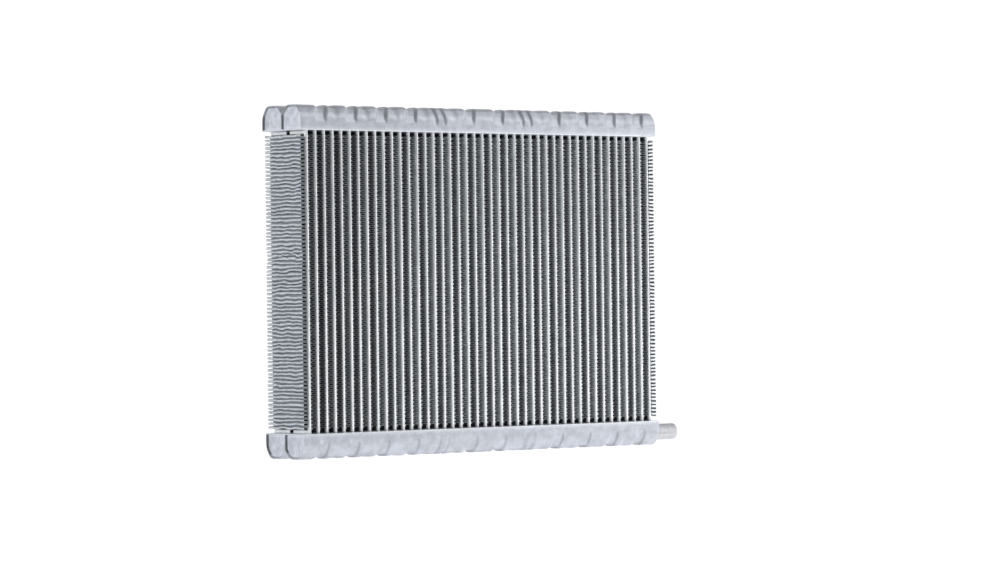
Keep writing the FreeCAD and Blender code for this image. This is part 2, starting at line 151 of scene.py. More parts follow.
class CoreSizes(bpy.types.PropertyGroup):
    """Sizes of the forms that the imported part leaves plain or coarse."""

    shoulder_reach: size_property(
        "Shoulder reach", "From a lobe's outer wall across to its flat crest", 7.2)
    shoulder_drop: size_property("Shoulder drop", "From the crest down to the top of a lobe's wall", 7.3)
    slant_reach: size_property(
        "Slant reach", "From the outer wall across to the slanted flat's upper end", 4.3)
    valley_drop: size_property(
        "Valley drop", "From the crest down to the braze in the valley between the lobes", 5.6)
    slant_drop: size_property("Slant drop", "From the crest down to the slanted flat's upper end", 1.1)
    plate_edge: size_property(
        "Plate edge", "How much of the plate's thickness shows beside a cover's foot", 0.8)
    groove_pitch: size_property("Groove pitch", "From one pressed groove to the next", 24.9)
    groove_half_width: size_property("Groove half width", "Half the width of a pressed groove", 5.0)
    groove_depth: size_property("Groove depth", "How deep a groove is pressed", 1.15)
    groove_lean: bpy.props.FloatProperty(
        name="Groove lean", default=0.48,
        description="Shift of the upper tank's grooves along X, over their way up the slant")
    groove_start: size_property(
        "Groove start", "From the plate's core side to the rounded end of a groove", 3.6)
    groove_end: size_property("Groove end", "Length over which a groove's rounded end widens", 2.6)
    upper_groove_start: size_property(
        "Upper groove start", "From the upper cover's foot to where its grooves fade in", 4.2)
    bead_half_width: size_property("Bead half width", "Half the width of one narrow bead of a pair", 2.1)
    bead_depth: size_property("Bead depth", "How deep a narrow bead is pressed", 0.9)
    bead_pitch: size_property("Bead pitch", "From one bead of a pair to the other", 7.0)
    hollow_depth: size_property("Hollow depth", "Shallow hollow on the crest between two grooves", 0.45)
    fold_pitch: size_property(
        "Fold pitch", "From one fold of a fin strip to the next on the same side", 2.49)
    fold_radius: size_property("Fold radius", "Bend at each fold", 0.52)
    fin_gauge: size_property("Fin gauge", "Thickness of the fin sheet", 0.11)
    fold_braze: size_property("Fold braze", "Braze that fills the inside of each fold", 0.32)
    outer_fold_radius: size_property(
        "Outer fold radius", "Bend at each fold of the two outermost strips", 0.72)
    outer_strip_gap: size_property(
        "Outer strip gap", "From the last fold of the outermost strips to the plates", 3.0)
    braze_fillet: size_property("Braze fillet", "Leg of the braze fillet round each tube end", 0.6)


class CoreFinish(bpy.types.PropertyGroup):
    """Colours of the brazed aluminium."""

    tank_colour: colour_property("Tank", "Sheet of the domed covers", (0.575, 0.60, 0.655))
    plate_colour: colour_property("Tube plate", "Slotted plates and their braze", (0.68, 0.705, 0.745))
    tube_colour: colour_property("Tube", "Flat tubes", (0.93, 0.96, 0.99))
    fin_colour: colour_property("Fin", "Folded fin sheet", (0.78, 0.82, 0.87))
    cap_colour: colour_property("End cap", "Stamped caps in the lobes", (0.645, 0.675, 0.745))
    stub_colour: colour_property("Port stub", "Drawn round stubs", (0.55, 0.555, 0.58))


class StudioLook(bpy.types.PropertyGroup):
    """Camera and light of the studio."""

    view_yaw: angle_property("View yaw", "How far the line of sight turns from +Y towards +X", 39.78)
    view_pitch: angle_property("View pitch", "How far the line of sight rises", 0.218)
    view_roll: angle_property("View roll", "Turn of the picture about the line of sight", -0.708)
    camera_place: bpy.props.FloatVectorProperty(
        name="Camera place", description="Camera from the middle of the core", size=3,
        default=(-1.73606, -2.12029, -0.0113), subtype="TRANSLATION", unit="LENGTH")
    lens: bpy.props.FloatProperty(
        name="Lens", description="Focal length on a 36 mm sensor, in millimetres",
        default=147.0, min=10)
    backdrop_share: share_property(
        "Backdrop share", "Share of the floor and backdrop that glows for the camera", 0.72)
    reflected_share: share_property(
        "Reflected share", "Share of the floor and backdrop that glows in reflections", 0.4)
    backdrop_glow: bpy.props.FloatProperty(
        name="Backdrop glow", description="Strength of that glow", default=1.3, min=0)
    room_light: bpy.props.FloatProperty(
        name="Room light", description="Plain light from all round", default=0.28, min=0)
    right_power: power_property("Right softbox", "Power of the right lamp", 5.0)
    left_power: power_property("Left softbox", "Power of the left lamp", 33.0)
    front_power: power_property("Front softbox", "Power of the front lamp", 8.6)
    low_front_power: power_property("Low front softbox", "Power of the front lamp under the floor", 8.8)
    low_right_power: power_property("Low right softbox", "Power of the right lamp under the floor", 4.5)


class Term:
    """A socket of a node tree that takes part in Python arithmetic."""

    def __init__(self, shader, socket):
        self.shader = shader
        self.socket = socket

    def combine(self, operation, *others):
        values = [self] + list(others)
        return self.shader.node("Math", {"operation": operation}, dict(enumerate(values)))

    def __add__(self, other):
        return self.combine("ADD", other)

    __radd__ = __add__

    def __mul__(self, other):
        return self.combine("MULTIPLY", other)

    __rmul__ = __mul__

    def __sub__(self, other):
        return self.combine("SUBTRACT", other)

    def __rsub__(self, other):
        return self.shader.node("Math", {"operation": "SUBTRACT"}, {0: other, 1: self})

    def __abs__(self):
        return self.combine("ABSOLUTE")

    def clipped(self):
        return self.shader.node("Clamp", {}, {"Value": self})

    def between(self, low, high):
        """0 below low, 1 above high, and smooth in between."""
        return self.shader.node(
            "MapRange", {"interpolation_type": "SMOOTHSTEP"},
            {"Value": self, "From Min": low, "From Max": high, "To Min": 0.0, "To Max": 1.0})


class Shader:
    """One material and the nodes that its finish is made of."""

    def __init__(self, name):
        self.material = bpy.data.materials.new(name)
        self.material.use_nodes = True
        self.tree = self.material.node_tree
        self.surface = self.tree.nodes["Principled BSDF"]

    def node(self, kind, settings, inputs, output=0):
        """Adds a node; settings are set before its sockets, and inputs are values or terms."""
        item = self.tree.nodes.new(f"ShaderNode{kind}")
        for key, value in settings.items():
            setattr(item, key, value)
        for key, value in inputs.items():
            if isinstance(value, Term):
                self.tree.links.new(value.socket, item.inputs[key])
            else:
                item.inputs[key].default_value = value
        return Term(self, item.outputs[output])

    def place(self, stretch=(1.0, 1.0, 1.0)):
        """The point on the part in metres, stretched along the axes."""
        point = self.node("TexCoord", {}, {}, "Object")
        return self.node("Mapping", {}, {"Vector": point, "Scale": stretch})

    def coordinate(self, axis):
        """One coordinate of the point on the part, in metres."""
        point = self.node("TexCoord", {}, {}, "Object")
        return self.node("SeparateXYZ", {}, {"Vector": point}, axis)

    def depth_inside(self, face, reach):
        """0 at the core's front and rear faces, rising to 1 reach metres further in."""
        return 1.0 - abs(self.coordinate("Y")).between(face - reach, face)

    def among_fins(self, reach):
        """1 at the heights that the fins fill, falling to 0 beyond their ends."""
        low, high = FINS[1][0].z, FINS[1][1].z
        half = (high - low) / 2
        height = self.coordinate("Z") - (low + high) / 2
        return 1.0 - abs(height).between(half - reach, half)

    def beside_tubes(self, near, far):
        """1 within near of a tube's right flat, falling to 0 at far."""
        along = self.coordinate("X") - FIRST_TUBE
        distance = along.combine("FLOORED_MODULO", TUBE_PITCH) - TUBE_THICKNESS / 2
        return 1.0 - distance.between(near, far)

    def beside_plates(self, near, far):
        """1 within near of a plate, falling to 0 at far, with a ragged edge."""
        middle = (FACE_HEIGHT[UPPER] + FACE_HEIGHT[LOWER]) / 2
        height = self.coordinate("Z") - middle
        ragged = self.grain(self.place(), 1.8 * MM, 3.0) * (2.4 * MM)
        distance = abs(height) - (FACE_HEIGHT[UPPER] - middle) + ragged
        return 1.0 - distance.between(near, far)

    def near_left_end(self):
        """1 at the core's left end, falling to 0 at about a third of its length: where painted shade darkens
        the core.
        """
        return 1.0 - self.coordinate("X").between(TANK_LEFT, TANK_LEFT + TANK_HALF_LENGTH * 0.7)

    def beyond_outer_strips(self):
        """1 on the core's outermost tube flats above and below their strips, 0 elsewhere."""
        along = self.coordinate("X") - TANK_MIDDLE
        flat = (TUBE_COUNT - 1) / 2 * TUBE_PITCH + TUBE_THICKNESS * 0.4
        low, high = outer_strip_ends(bpy.context.scene.core_sizes)
        half = (high - low) / 2
        height = self.coordinate("Z") - (low + high) / 2
        beyond = abs(height).between(half + 1.1 * MM, half + 1.8 * MM)
        return abs(along).between(flat - 0.1 * MM, flat) * beyond

    def in_light_gaps(self):
        """1 in every other gap between the tubes, 0 in the gaps between those."""
        along = self.coordinate("X") - FIRST_TUBE
        return (along * (math.pi / TUBE_PITCH)).combine("SINE").between(-0.2, 0.2)

    def behind_left_folds(self, near, far):
        """0 within near of the left strip's outer folds, rising to 1 at far behind them."""
        along = self.coordinate("X") - FINS[0][0].x
        return along.between(near, far)

    def grain(self, point, size, detail=3.0, roughness=0.55):
        """Noise from 0 to 1 whose blotches are about size across."""
        return self.node(
            "TexNoise", {},
            {"Vector": point, "Scale": 1.0 / size, "Detail": detail, "Roughness": roughness})

    def blend(self, factor, first, second):
        """Colour between two colours: the first where the factor is 0, the second where it is 1."""
        inputs = {MIX_FACTOR: factor, MIX_FIRST: first, MIX_SECOND: second}
        for key, value in inputs.items():
            if isinstance(value, tuple):
                inputs[key] = (*value, 1.0)
        return self.node("Mix", {"data_type": "RGBA"}, inputs, MIX_RESULT)

    def feed(self, key, value):
        """Links or sets one input of the surface."""
        if isinstance(value, Term):
            self.tree.links.new(value.socket, self.surface.inputs[key])
        else:
            self.surface.inputs[key].default_value = value

    def relief(self, height, depth):
        """Small relief of the surface, depth metres high."""
        bump = self.node("Bump", {}, {"Height": height, "Distance": depth, "Strength": 1.0})
        self.feed("Normal", bump)


def shade(colour, factor):
    """The colour, lighter or darker."""
    return tuple(min(1.0, part * factor) for part in colour)


def brazed_sheet(name, colour, metallic=0.6, rough=0.42, blotch=7 * MM):
    """Aluminium sheet after the brazing oven: matt, with faint blotches, flux bloom and fine grain.

    The flux lies thicker along the plates.
    """
    shader = Shader(name)
    point = shader.place()
    patches = shader.grain(point, blotch, 4.0)
    speckle = shader.grain(point, 0.55 * MM, 2.0)
    streaks = shader.grain(shader.place((0.25, 1.0, 1.0)), 1.6 * MM, 3.0)
    bloom = shader.grain(point, 2.6 * MM, 5.0, 0.65).between(0.56, 0.74)
    tone = (patches * 0.6 + speckle * 0.2 + streaks * 0.2).between(0.34, 0.66)
    body = shader.blend(tone, shade(colour, 0.84), shade(colour, 1.10))
    body = shader.blend(shader.beside_plates(FLUX_NEAR, FLUX_FAR) * 0.45, body, shade(colour, 1.35))
    shader.feed("Base Color", shader.blend(bloom * 0.45, body, shade(colour, 1.28)))
    shader.feed("Metallic", metallic - bloom * 0.30)
    shader.feed("Roughness", rough + patches * 0.10 + bloom * 0.12 - 0.05)
    shader.relief(speckle * 0.6 + streaks * 0.7 + patches * 1.2, 0.045 * MM)
    return shader.material


def drawn_tube(name, colour):
    """Extruded flat tube: satin noses with fine lines, and flats whose colour carries painted shade, as if
    they lay in the core's own shade.
    """
    shader = Shader(name)
    lines = shader.grain(shader.place((1.0, 1.0, 0.02)), 0.35 * MM, 2.0)
    patches = shader.grain(shader.place((1.0, 1.0, 0.5)), 5 * MM, 3.0)
    tone = (lines * 0.5 + patches * 0.5).between(0.36, 0.64)
    nose = shader.blend(tone, shade(colour, 0.9), shade(colour, 1.08))
    # Painted shade: the flats darken just behind the noses and fade to the inside shade colour further in.
    inside = shader.depth_inside(CORE_FACE - NOSE_REACH, NOSE_FADE)
    deep = shader.depth_inside(CORE_FACE - RIM_REACH, RIM_FADE)
    # Painted light and shade: near the faces the flats are lighter in every other gap and darker in the rest.
    rim = shader.blend(shader.in_light_gaps(), shade(colour, 0.30), shade(colour, 0.55))
    flat = shader.blend(deep, rim, INSIDE_SHADE_COLOUR)
    # Painted shade towards the core's left end and above and below the fins; beyond the outermost strips the
    # flats keep the noses' colour.
    flat = shader.blend(shader.near_left_end(), flat, INSIDE_SHADE_COLOUR)
    flat = shader.blend(shader.among_fins(1.0 * MM), INSIDE_SHADE_COLOUR, flat)
    flat = shader.blend(shader.beyond_outer_strips(), flat, nose)
    shader.feed("Base Color", shader.blend(inside, nose, flat))
    shader.feed("Metallic", 0.5 - inside * 0.3)
    shader.feed("Roughness", 0.4 + patches * 0.16 + inside * 0.2)
    shader.relief(lines + patches * 0.6, 0.02 * MM)
    return shader.material


def louvred_fin(name, colour, place, depth=0.0, metallic=0.85):
    """Thin rolled sheet with rows of louvres across the air flow.

    place is "gap" between two tubes, or the core's "left" or "right" end. In a gap the sheet shows a painted
    highlight tick beside each tube's right flat, painted shade just beyond it and towards the core's left
    end, and falls into full painted shade depth metres further in. At the left end the sheet behind the outer
    folds is painted in shade.
    """
    shader = Shader(name)
    point = shader.place()
    patches = shader.grain(point, 3.5 * MM, 3.0)
    fine = shader.grain(point, 0.5 * MM, 2.0)
    louvre_pitch = 1.3 * MM
    waves_per_scale = 20.0
    louvres = shader.node(
        "TexWave", {"wave_type": "BANDS", "bands_direction": "Y", "wave_profile": "SAW"},
        {"Vector": point, "Scale": 1.0 / louvre_pitch / waves_per_scale, "Distortion": 0.0}, 1)
    tone = (patches * 0.6 + fine * 0.4).between(0.36, 0.64)
    sheet = shader.blend(tone, shade(colour, 0.84), shade(colour, 1.1))
    if place == "gap":
        # Painted highlight ticks beside each tube's right flat, with painted shade a little further from it.
        ticks = shader.beside_tubes(TICK_NEAR, TICK_FAR)
        shaded = shader.beside_tubes(SHADED_NEAR, SHADED_FAR)
        sheet = shader.blend(shaded, sheet, shade(colour, 0.7))
        sheet = shader.blend(ticks, sheet, TICK_HIGHLIGHT_COLOUR)
        # Painted shade towards the core's left end and deep inside the core.
        sheet = shader.blend(shader.near_left_end() * 0.6, sheet, shade(colour, 0.4))
        inside = shader.depth_inside(FINS[0][1].y, depth)
        sheet = shader.blend(inside, sheet, shade(colour, 0.35))
    elif place == "left":
        # Painted shade on the sheet behind the left strip's outer folds.
        sheet = shader.blend(shader.behind_left_folds(FOLD_NEAR, FOLD_FAR), sheet, shade(colour, 0.65))
    shader.feed("Base Color", sheet)
    shader.feed("Metallic", metallic)
    shader.feed("Roughness", 0.38 + fine * 0.14)
    shader.relief(louvres + fine * 0.4, 0.07 * MM)
    return shader.material


def turned_stub(name, colour):
    """Drawn round stub with fine rings about its axis."""
    shader = Shader(name)
    rings = shader.grain(shader.place((1.0, 0.03, 0.03)), 0.3 * MM, 2.0)
    patches = shader.grain(shader.place(), 3 * MM, 3.0)
    tone = (rings * 0.5 + patches * 0.5).between(0.35, 0.65)
    shader.feed("Base Color", shader.blend(tone, shade(colour, 0.88), shade(colour, 1.1)))
    shader.feed("Metallic", 0.6)
    shader.feed("Roughness", 0.5 + patches * 0.16)
    shader.relief(rings, 0.02 * MM)
    return shader.material


def finish(kind):
    """The named material, made the first time that a piece asks for it."""
    found = bpy.data.materials.get(kind)
    if found:
        return found
    look = bpy.context.scene.core_finish
    makers = {
        "brazed_tank_sheet": (brazed_sheet, look.tank_colour, {}),
        "brazed_plate": (brazed_sheet, look.plate_colour, {"rough": 0.4, "blotch": 3 * MM}),
        "satin_flat_tube": (drawn_tube, look.tube_colour, {}),
        "louvred_fin_left": (louvred_fin, shade(look.fin_colour, 0.82), {"place": "left"}),
        "louvred_fin_right": (
            louvred_fin, shade(look.fin_colour, 0.9), {"place": "right", "metallic": 0.4}),
        # Painted light and shade: the fins of every other gap get a lighter copy of the fin colour, the rest
        # a darker one.
        "louvred_fin_light": (
            louvred_fin, shade(look.fin_colour, 1.1), {"place": "gap", "depth": 5 * MM}),
        "louvred_fin_dark": (
            louvred_fin, shade(look.fin_colour, 0.66), {"place": "gap", "depth": 4.5 * MM}),
        # Painted shade: the tank colour darkened for the lobes' inside faces, most on the walls and less on
        # the upper tank's slants and crest.
        "shaded_inside": (
            brazed_sheet, shade(look.tank_colour, 0.3), {"metallic": 0.4, "rough": 0.6}),
        "shaded_shoulder": (
            brazed_sheet, shade(look.tank_colour, 0.6), {"metallic": 0.4, "rough": 0.6}),
        "stamped_cap": (brazed_sheet, look.cap_colour, {"rough": 0.4, "blotch": 4 * MM}),
        "drawn_stub": (turned_stub, look.stub_colour, {}),
    }
    make, colour, options = makers[kind]
    return make(kind, colour, **options)


def make_piece(name, vertices, faces, kinds, replaced, crease=40, picks=None):
    """A mesh piece that rides on the core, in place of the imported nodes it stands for.

    kinds names its finishes, and picks gives the index of each face's finish where there are more.
    """
    mesh = bpy.data.meshes.new(name)
    mesh.from_pydata(vertices, [], faces)
    for kind in kinds:
        mesh.materials.append(finish(kind))
    if picks:
        mesh.polygons.foreach_set("material_index", picks)
    build = bmesh.new()
    build.from_mesh(mesh)
    bmesh.ops.recalc_face_normals(build, faces=build.faces)
    build.to_mesh(mesh)
    build.free()
    mesh.shade_smooth()
    mesh.set_sharp_from_angle(angle=math.radians(crease))
    piece = bpy.data.objects.new(name, mesh)
    bpy.context.scene.collection.objects.link(piece)
    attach(piece, BODY)
    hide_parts(*replaced)
    return piece


def add_skin(faces, start, count, rings, closed=False):
    """Adds the quads between rings of count points each, the first ring's first point being start.

    A closed skin joins its last ring to its first, and an open one ends in two flat faces.
    """
    starts = [start + ring * count for ring in range(rings)]
    following = starts[1:] + starts[:1] if closed else starts[1:]
    for near, far in zip(starts, following):
        faces += [(near + index, near + (index + 1) % count, far + (index + 1) % count, far + index)
                  for index in range(count)]
    if not closed:
        faces += [tuple(range(first, first + count)) for first in (starts[0], starts[-1])]


def smooth_step(value):
    value = min(1.0, max(0.0, value))
    return value * value * (3 - 2 * value)


def blob(x, y, z, size):
    """Smooth irregularity from about -1 to 1, whose bumps are about size across."""
    return noise.noise(Vector((x, y, z)) / size)


def rounded_slab(x_low, x_high, y_low, y_high, z_low, z_high, holes, rim_z, radius):
    """Vertices and faces of a flat plate with holes in rows and columns, its rim rounded at rim_z."""
    column_edges, row_edges = holes
    xs = [x_low] + column_edges + [x_high]
    ys = [y_low] + row_edges + [y_high]
    build = bmesh.new()
    grid = {(i, j, k): build.verts.new((x, y, z))
            for i, x in enumerate(xs) for j, y in enumerate(ys) for k, z in enumerate((z_low, z_high))}

    def is_solid(i, j):
        inside = 0 <= i < len(xs) - 1 and 0 <= j < len(ys) - 1
        return inside and not (i % 2 == 1 and j % 2 == 1)

    for i in range(len(xs) - 1):
        for j in range(len(ys) - 1):
            if not is_solid(i, j):
                continue
            for k in (0, 1):
                build.faces.new([grid[i, j, k], grid[i + 1, j, k], grid[i + 1, j + 1, k], grid[i, j + 1, k]])
            sides = [((i - 1, j), (i, j), (i, j + 1)), ((i + 1, j), (i + 1, j), (i + 1, j + 1)),
                     ((i, j - 1), (i, j), (i + 1, j)), ((i, j + 1), (i, j + 1), (i + 1, j + 1))]
            for beside, first, second in sides:
                if not is_solid(*beside):
                    build.faces.new([grid[*first, 0], grid[*second, 0], grid[*second, 1], grid[*first, 1]])
    bmesh.ops.recalc_face_normals(build, faces=build.faces)

    near = radius / 100
    corner = 1.0

    def on_rim(vertex):
        point = vertex.co
        on_end = min(abs(point.x - x_low), abs(point.x - x_high)) < near
        on_side = min(abs(point.y - y_low), abs(point.y - y_high)) < near
        return abs(point.z - rim_z) < near and (on_end or on_side)

    rim = [edge for edge in build.edges
           if all(on_rim(vertex) for vertex in edge.verts)
           and len(edge.link_faces) == 2 and edge.calc_face_angle() > corner]
    bmesh.ops.bevel(build, geom=rim, offset=radius, segments=3, profile=0.5, affect="EDGES")
    build.verts.index_update()
    vertices = [tuple(vertex.co) for vertex in build.verts]
    faces = [tuple(vertex.index for vertex in face.verts) for face in build.faces]
    build.free()
    return vertices, faces


def tube_stations():
    return [FIRST_TUBE + number * TUBE_PITCH for number in range(TUBE_COUNT)]


def tube_outline(x, side, grow, steps=8):
    """Outline of one flat tube with round noses, larger by grow all round."""
    low, high = ROWS[side]
    radius = TUBE_THICKNESS / 2
    points = []
    for centre, first in ((high - radius, 0.0), (low + radius, math.pi)):
        for step in range(steps + 1):
            turn = first + math.pi * step / steps
            points.append((x + (radius + grow) * math.cos(turn), centre + (radius + grow) * math.sin(turn)))
    return points


def braze_collars(direction, leg):
    """Concave braze fillets round every tube, where it enters one plate."""
    vertices, faces = [], []
    face = FACE_HEIGHT[direction]
    sink = 0.03 * MM
    profile = [(-sink, -sink), (-sink, leg), (0.0, leg), (leg * 0.30, leg * 0.30), (leg, 0.0), (leg, -sink)]
    for side in (FRONT, REAR):
        for number, x in enumerate(tube_stations()):
            uneven = 1.0 + 0.25 * blob(x, side * 0.02, direction * 0.03, 4 * MM)
            start = len(vertices)
            for grow, height in profile:
                stretch = uneven if height > 0 or grow > 0 else 1.0
                for px, py in tube_outline(x, side, grow * stretch):
                    vertices.append((px, py, face - direction * height * stretch))
            count = (len(vertices) - start) // len(profile)
            add_skin(faces, start, count, len(profile), closed=True)
    return vertices, faces


class CORE_OT_tube_plates(bpy.types.Operator):
    """Builds the two slotted tube plates with the braze round every tube"""

    bl_idname = "core.tube_plates"
    bl_label = "Tube plates"

    def execute(self, context):
        sizes = context.scene.core_sizes
        rim_radius = 0.45 * MM
        columns = [x + hand * TUBE_THICKNESS / 2 for x in tube_stations() for hand in (-1, 1)]
        rows = [*ROWS[FRONT], *ROWS[REAR]]
        for prefix, direction in TANKS.items():
            low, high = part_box(f"{prefix}_tube_plate")
            face = FACE_HEIGHT[direction]
            levels = sorted((face, face + direction * sizes.plate_edge))
            vertices, faces = rounded_slab(
                low.x, high.x, low.y, high.y, *levels, (columns, rows), face, rim_radius)
            make_piece(f"{prefix}_tube_plate_sheet", vertices, faces, ["brazed_plate"],
                       [f"{prefix}_tube_plate"], crease=50)
            vertices, faces = braze_collars(direction, sizes.braze_fillet)
            make_piece(f"{prefix}_tube_plate_braze", vertices, faces, ["brazed_plate"],
                       [], crease=50)
        return {"FINISHED"}


def press_marks(sizes):
    """Pressed marks of a tank: (place along X from the middle, half width, depth, kind)."""
    plain_end = 6 * MM
    marks = []
    number = 0
    while (number + 0.5) * sizes.groove_pitch + sizes.groove_half_width < TANK_HALF_LENGTH - plain_end:
        centre = (number + 0.5) * sizes.groove_pitch
        for hand in (-1, 1):
            if number == 1:
                for shift in (-0.5, 0.5):
                    place = hand * centre + shift * sizes.bead_pitch
                    marks.append((place, sizes.bead_half_width, sizes.bead_depth, "bead"))
            else:
                marks.append((hand * centre, sizes.groove_half_width, sizes.groove_depth, "groove"))
            if number > 0:
                place = hand * number * sizes.groove_pitch
                marks.append((place, sizes.groove_half_width, sizes.hollow_depth, "hollow"))
        number += 1
    return marks


def press_depth(sizes, marks, x, run, whole_run, lean):
    """How deep the sheet is pressed at x, where run is the way up the lobe's outside from its foot.

    A groove's left wall rises more gently than its right wall. All marks end before the valley.
    """
    fade_length = 4 * MM
    fade = smooth_step((whole_run - fade_length / 2 - run) / fade_length)
    wall_run = TANK_HEIGHT - sizes.shoulder_drop - sizes.plate_edge
    slant_run = math.hypot(sizes.slant_reach, sizes.shoulder_drop - sizes.slant_drop)
    shift = lean * min(max(run - wall_run, 0.0), slant_run)
    hollow_start, hollow_growth = 4.5 * MM, 7 * MM
    deepest = 0.0
    for place, half, depth, kind in marks:
        offset = abs(x - place - (shift if kind == "groove" else 0.0))
        if offset > half:
            continue
        if kind == "hollow":
            # A hollow widens and deepens on its way up.
            grow = smooth_step((run - hollow_start) / hollow_growth)
            reach = half * (0.3 + 0.7 * grow)
            share = smooth_step((1 - offset / reach) / 0.9) * grow if offset < reach else 0.0
        else:
            is_right = x > place + shift
            slope = 0.9 if kind == "bead" else 0.33 if is_right else 0.55
            if kind == "groove" and lean:
                share = smooth_step((1 - offset / half) / slope)
                share *= smooth_step((run - sizes.upper_groove_start) / fade_length)
            else:
                below = max(0.0, 1 - (run - sizes.groove_start) / sizes.groove_end)
                share = smooth_step((1 - math.hypot(offset / half, below)) / slope)
        deepest = max(deepest, depth * share)
    return deepest * fade


def eased_path(corners, eases, spacing, steps):
    """Line through the corners, each eased by a curve.

    Its points are (y, height, normal's y, normal's height, way from the start).
    """
    places = [Vector(corners[0])]
    for before, corner, after, ease in zip(corners, corners[1:], corners[2:], eases):
        corner = Vector(corner)
        start = corner + (Vector(before) - corner).normalized() * ease
        end = corner + (Vector(after) - corner).normalized() * ease
        count = max(1, round((start - places[-1]).length / spacing))
        places += [places[-1].lerp(start, number / count) for number in range(1, count + 1)]
        places += [start.lerp(corner, share).lerp(corner.lerp(end, share), share)
                   for share in (number / steps for number in range(1, steps + 1))]
    count = max(1, round((Vector(corners[-1]) - places[-1]).length / spacing))
    places += [places[-1].lerp(Vector(corners[-1]), number / count) for number in range(1, count + 1)]
    path = []
    run = 0.0
    for index, place in enumerate(places):
        ahead = places[min(index + 1, len(places) - 1)]
        behind = places[max(index - 1, 0)]
        run += (place - behind).length
        along = (ahead - behind).normalized()
        path.append((place.x, place.y, along.y, -along.x, run))
    return path


def lobe_path(sizes, spacing, steps):
    """Outside of one lobe from its foot over the crest to the valley, y counted from the valley's plane."""
    level = TANK_HEIGHT - sizes.shoulder_drop
    slant = TANK_HEIGHT - sizes.slant_drop
    corners = [
        (TANK_HALF_DEPTH, sizes.plate_edge), (TANK_HALF_DEPTH, level),
        (TANK_HALF_DEPTH - sizes.slant_reach, slant), (TANK_HALF_DEPTH - sizes.shoulder_reach, TANK_HEIGHT),
        (sizes.shoulder_reach, TANK_HEIGHT), (sizes.slant_reach, slant),
        (0.0, TANK_HEIGHT - sizes.valley_drop)]
    eases = [3.0 * MM] + [1.3 * MM] * 4
    return eased_path(corners, eases, spacing, steps)


def lobe_inside(sizes):
    """Inside outline of one lobe, from the foot of its outer wall round to the foot of the middle wall."""
    path = lobe_path(sizes, spacing=3 * MM, steps=3)
    outline = [(max(y - normal_y * TANK_WALL, MIDDLE_WALL_HALF), height - normal_z * TANK_WALL)
               for y, height, normal_y, normal_z, run in path]
    outline[0] = (outline[0][0], sizes.plate_edge)
    outline[-1] = (MIDDLE_WALL_HALF, TANK_HEIGHT - sizes.valley_drop - TANK_WALL)
    outline.append((MIDDLE_WALL_HALF, sizes.plate_edge))
    return outline


def cover_section(sizes, marks, path, inside, direction, x, lip, flare):
    """Closed outline of a tank cover across X: outside of both lobes, then the inside of both.

    Each point is (y, distance from the plate's core side). lip thins the wall at the tank's ends,
    from outside by itself and from inside by flare.
    """
    halves = []
    lean = sizes.groove_lean if direction == UPPER else 0.0
    for side in (FRONT, REAR):
        half = []
        for y, height, normal_y, normal_z, run in path:
            wave = 0.07 * MM * blob(x, side * y, height * direction, 11 * MM)
            wave += 0.03 * MM * blob(x, side * y, height * direction, 4 * MM)
            sunk = lip + press_depth(sizes, marks, x - TANK_MIDDLE, run, path[-1][4], lean)
            sunk += abs(wave) * smooth_step(run / (2 * MM))
            half.append((side * max(y - normal_y * sunk, 0.0), height - normal_z * sunk))
        halves.append(half)
    centre_y, centre_height = cap_centre()
    rear_inside = []
    for y, height in inside:
        grown_y = y + math.copysign(flare, y - centre_y)
        grown_height = height + (flare if height > centre_height else 0.0)
        rear_inside.append((max(grown_y, 0.3 * MM), grown_height))
    front_inside = [(-y, height) for y, height in rear_inside[::-1]]
    return halves[0] + halves[1][::-1][1:] + rear_inside + front_inside


def cover_stations():
    """Places along X of a cover's sections, with how far its rim is rounded and flared there."""
    spacing = 0.62 * MM
    lips = [(0.0, 0.25 * MM, 0.75 * MM), (0.08 * MM, 0.10 * MM, 0.72 * MM), (0.25 * MM, 0.02 * MM, 0.62 * MM),
            (0.6 * MM, 0.0, 0.40 * MM), (1.3 * MM, 0.0, 0.0)]
    rounding = lips[-1][0]
    plain = 2 * (TANK_HALF_LENGTH - rounding)
    count = int(plain / spacing)
    stations = [(TANK_LEFT + place, lip, flare) for place, lip, flare in lips]
    stations += [(TANK_LEFT + rounding + plain * number / count, 0.0, 0.0) for number in range(1, count)]
    stations += [(TANK_RIGHT - place, lip, flare) for place, lip, flare in lips[::-1]]
    return stations


COVER_FINISHES = ["brazed_tank_sheet", "shaded_inside", "shaded_shoulder"]
BARE_SHEET, SHADED_INSIDE, SHADED_SHOULDER = range(3)


